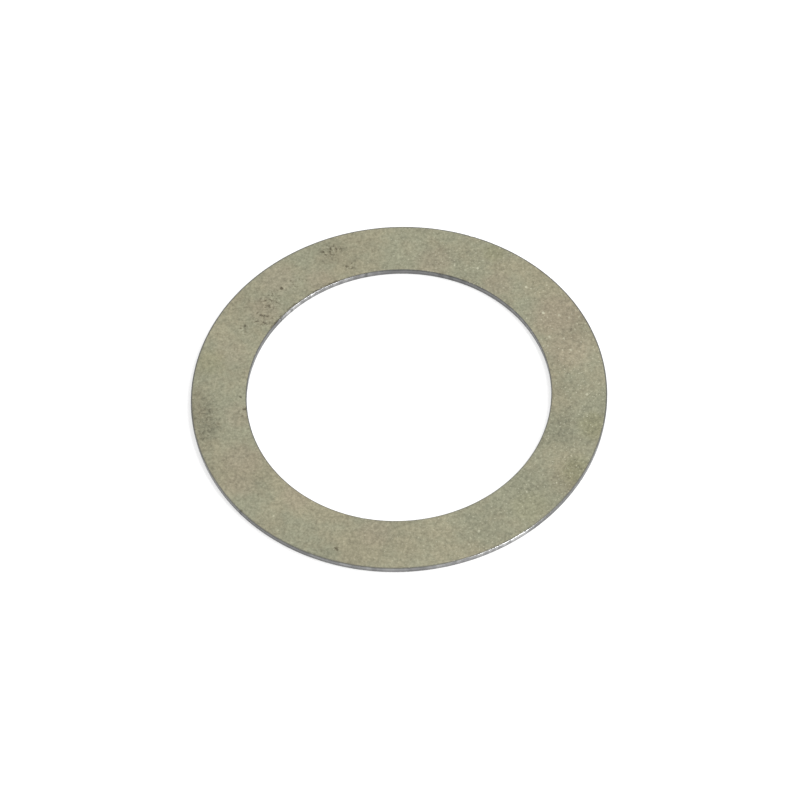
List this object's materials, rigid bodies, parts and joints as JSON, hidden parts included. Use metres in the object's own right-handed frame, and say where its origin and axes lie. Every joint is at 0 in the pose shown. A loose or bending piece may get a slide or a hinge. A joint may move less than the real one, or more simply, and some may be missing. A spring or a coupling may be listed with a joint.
{
  "type": "shim ring",
  "caption": "Thin flat steel spacer ring with a wide round bore and sheared edges, for taking up end play on a shaft.",
  "frame": {"origin": "centre of the ring on its underside, the flat side that the shearing tools broke through", "axes": "+Z along the ring's axis, up through the top face with the rolled-over corners; X and Y lie in the plane of the ring and are alike"},
  "size_m": [0.0248, 0.0248, 0.0004],
  "materials": {
    "rolled_steel": "plain cold-rolled strip, tumbled: dull warm grey faces, brighter sheared edges"
  },
  "bodies": {
    "root": {"shim_ring": "rolled_steel"}
  },
  "joints": []
}
